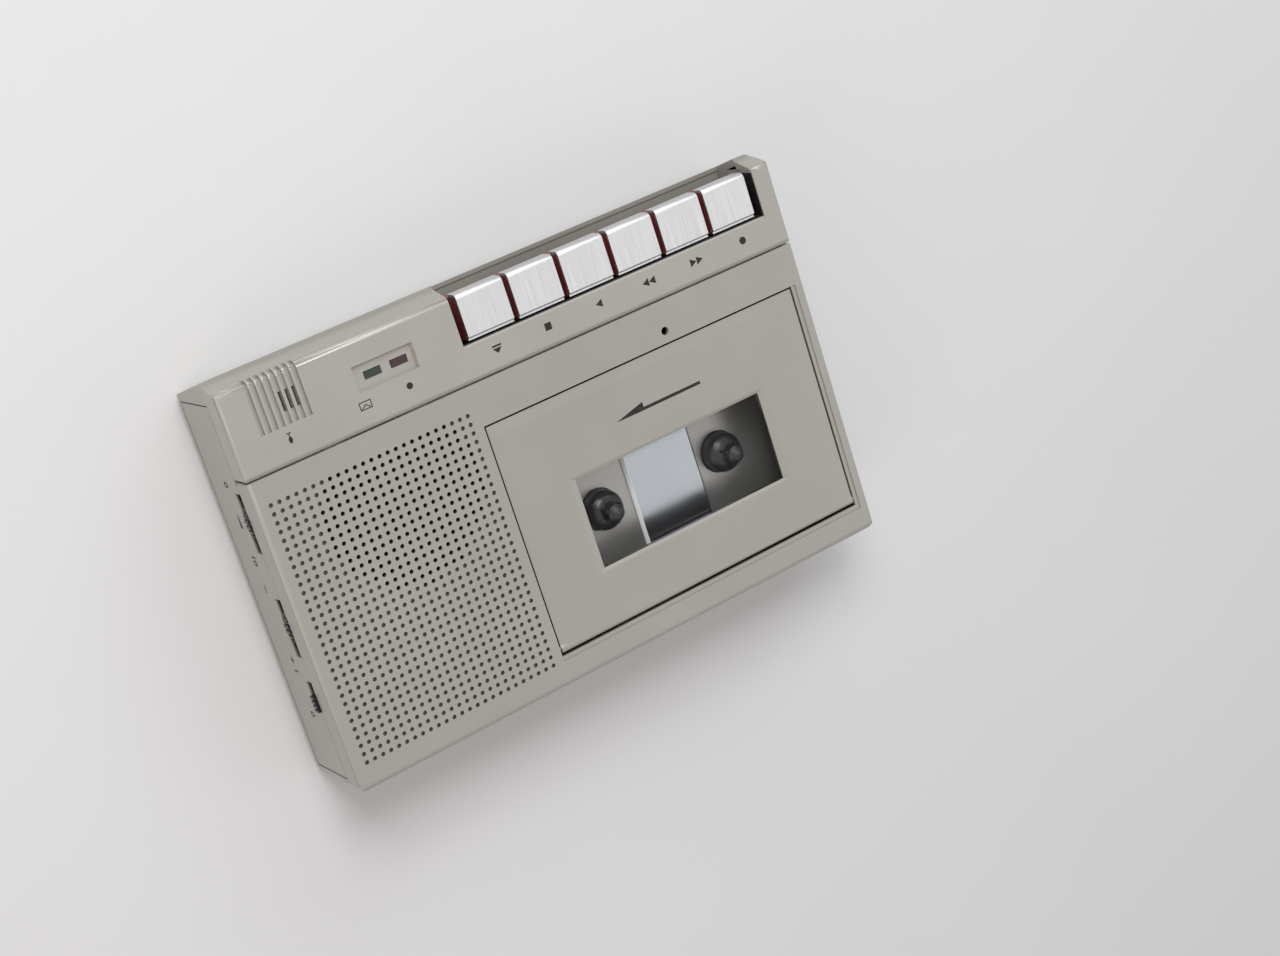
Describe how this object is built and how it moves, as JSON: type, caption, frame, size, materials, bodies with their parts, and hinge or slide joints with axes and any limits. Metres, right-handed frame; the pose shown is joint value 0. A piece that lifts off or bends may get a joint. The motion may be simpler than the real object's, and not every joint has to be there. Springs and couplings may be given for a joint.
{
  "type": "cassette dictation machine",
  "caption": "Slim desk dictation machine for compact cassettes, with a hinged windowed door, a row of piano keys, a drilled speaker grille, message and record lamps and thumb dials.",
  "frame": {"origin": "middle of the footprint, on the plane of the rubber feet", "axes": "+X along the case towards the speaker end, +Y from the keys towards the door hinge, +Z out of the front face"},
  "size_m": [0.1787, 0.118, 0.0315],
  "materials": {
    "case_plastic": "fine satin moulded texture",
    "deck_grey": "satin",
    "trim_silver": "brushed",
    "black_plastic": "matt black",
    "clear_window": "clear acrylic",
    "key_plastic": "dark red",
    "cap_metal": "brushed across the key",
    "steel": "plated",
    "brass": "turned",
    "head_metal": "polished",
    "head_plastic": "ivory",
    "rubber": "matt",
    "cone_paper": "pressed paper",
    "magnet": "ferrite",
    "board": "phenolic board",
    "components": "sleeved parts",
    "lamp_green": "tinted diffused",
    "lamp_red": "tinted diffused"
  },
  "bodies": {
    "case": {"front_panel": "case_plastic", "control_panel": "case_plastic", "rear_cover": "case_plastic", "end_panel": "case_plastic", "rubber_feet": "rubber", "case_screws": "steel", "cassette_well": "black_plastic", "deck_plate": "deck_grey", "trim_plate": "trim_silver", "hinge_pins": "steel", "key_shaft": "steel", "key_springs": "steel", "message_lamp": "lamp_green", "record_lamp": "lamp_red", "microphone": "steel", "microphone_boot": "rubber", "speaker_basket": "steel", "speaker_cone": "cone_paper", "speaker_magnet": "magnet", "mechanism_chassis": "steel", "capstan_bearing": "brass", "motor": "steel", "drive_belt": "rubber", "circuit_board": "board", "board_components": "components", "dial_controls": "components", "switch_body": "steel", "battery_box": "black_plastic", "battery_contacts": "steel", "jack_sockets": "black_plastic"},
    "door": {"cassette_door": "case_plastic", "door_window": "clear_window"},
    "latch": {"door_latch": "steel"},
    "key_record": {"record_key": "key_plastic", "record_cap": "cap_metal"},
    "key_rewind": {"rewind_key": "key_plastic", "rewind_cap": "cap_metal"},
    "key_forward": {"forward_key": "key_plastic", "forward_cap": "cap_metal"},
    "key_play": {"play_key": "key_plastic", "play_cap": "cap_metal"},
    "key_stop": {"stop_key": "key_plastic", "stop_cap": "cap_metal"},
    "key_eject": {"eject_key": "key_plastic", "eject_cap": "cap_metal"},
    "supply_reel": {"supply_spindle": "black_plastic"},
    "takeup_reel": {"takeup_spindle": "black_plastic"},
    "capstan": {"capstan_shaft": "steel", "flywheel": "brass"},
    "pulley": {"motor_pulley": "brass"},
    "head_slide": {"head_plate": "steel", "record_head": "head_metal", "erase_head": "head_plastic", "pinch_bracket": "steel"},
    "roller": {"pinch_roller": "rubber"},
    "volume": {"volume_dial": "black_plastic"},
    "tone": {"tone_dial": "black_plastic"},
    "switch": {"switch_knob": "black_plastic"},
    "hatch": {"battery_door": "case_plastic"}
  },
  "joints": [
    {"name": "door_hinge", "type": "hinge", "parent": "case", "child": "door", "pos_m": [-0.0318, 0.0481, 0.03], "axis": [-1, 0, 0], "range_deg": [0, 45]},
    {"name": "record_press", "type": "hinge", "parent": "case", "child": "key_record", "pos_m": [-0.07293, -0.034, 0.025], "axis": [1, 0, 0], "range_deg": [0, 9], "stiffness_Nm_per_rad": 0.02, "springref_deg": -8.59},
    {"name": "rewind_press", "type": "hinge", "parent": "case", "child": "key_rewind", "pos_m": [-0.05647, -0.034, 0.025], "axis": [1, 0, 0], "range_deg": [0, 9], "stiffness_Nm_per_rad": 0.02, "springref_deg": -8.59},
    {"name": "forward_press", "type": "hinge", "parent": "case", "child": "key_forward", "pos_m": [-0.04002, -0.034, 0.025], "axis": [1, 0, 0], "range_deg": [0, 9], "stiffness_Nm_per_rad": 0.02, "springref_deg": -8.59},
    {"name": "play_press", "type": "hinge", "parent": "case", "child": "key_play", "pos_m": [-0.02357, -0.034, 0.025], "axis": [1, 0, 0], "range_deg": [0, 9], "stiffness_Nm_per_rad": 0.02, "springref_deg": -8.59},
    {"name": "stop_press", "type": "hinge", "parent": "case", "child": "key_stop", "pos_m": [-0.00713, -0.034, 0.025], "axis": [1, 0, 0], "range_deg": [0, 9], "stiffness_Nm_per_rad": 0.02, "springref_deg": -8.59},
    {"name": "eject_press", "type": "hinge", "parent": "case", "child": "key_eject", "pos_m": [0.00932, -0.034, 0.025], "axis": [1, 0, 0], "range_deg": [0, 9], "stiffness_Nm_per_rad": 0.02, "springref_deg": -8.59},
    {"name": "latch_slide", "type": "slide", "parent": "case", "child": "latch", "axis": [0, -1, 0], "range_m": [0, 0.002]},
    {"name": "supply_spin", "type": "hinge", "parent": "case", "child": "supply_reel", "pos_m": [-0.05305, 0.0205, 0.018], "axis": [0, 0, 1], "continuous": true},
    {"name": "takeup_spin", "type": "hinge", "parent": "case", "child": "takeup_reel", "pos_m": [-0.01055, 0.0205, 0.018], "axis": [0, 0, 1], "continuous": true},
    {"name": "capstan_spin", "type": "hinge", "parent": "case", "child": "capstan", "pos_m": [-0.0098, -0.0085, 0.01], "axis": [0, 0, 1], "continuous": true},
    {"name": "pulley_spin", "type": "hinge", "parent": "case", "child": "pulley", "pos_m": [-0.068, -0.01005, 0.006], "axis": [0, 0, 1], "continuous": true},
    {"name": "head_advance", "type": "slide", "parent": "case", "child": "head_slide", "axis": [0, 1, 0], "range_m": [0, 0.0055]},
    {"name": "roller_spin", "type": "hinge", "parent": "head_slide", "child": "roller", "pos_m": [-0.0098, -0.0209, 0.022], "axis": [0, 0, 1], "continuous": true},
    {"name": "volume_turn", "type": "hinge", "parent": "case", "child": "volume", "pos_m": [0.08, -0.0194, 0.022], "axis": [0, 0, 1], "range_deg": [-135, 135]},
    {"name": "tone_turn", "type": "hinge", "parent": "case", "child": "tone", "pos_m": [0.08, 0.0109, 0.022], "axis": [0, 0, 1], "range_deg": [-135, 135]},
    {"name": "switch_slide", "type": "slide", "parent": "case", "child": "switch", "axis": [0, -1, 0], "range_m": [0, 0.0041]},
    {"name": "hatch_slide", "type": "slide", "parent": "case", "child": "hatch", "axis": [0, 1, 0], "range_m": [0, 0.012]}
  ],
  "couplings": [
    {"joint": "play_press", "follows": "head_advance", "rad_per_m": 28.3},
    {"joint": "eject_press", "follows": "latch_slide", "rad_per_m": 78},
    {"joint": "pulley_spin", "follows": "capstan_spin", "ratio": 3.75}
  ]
}
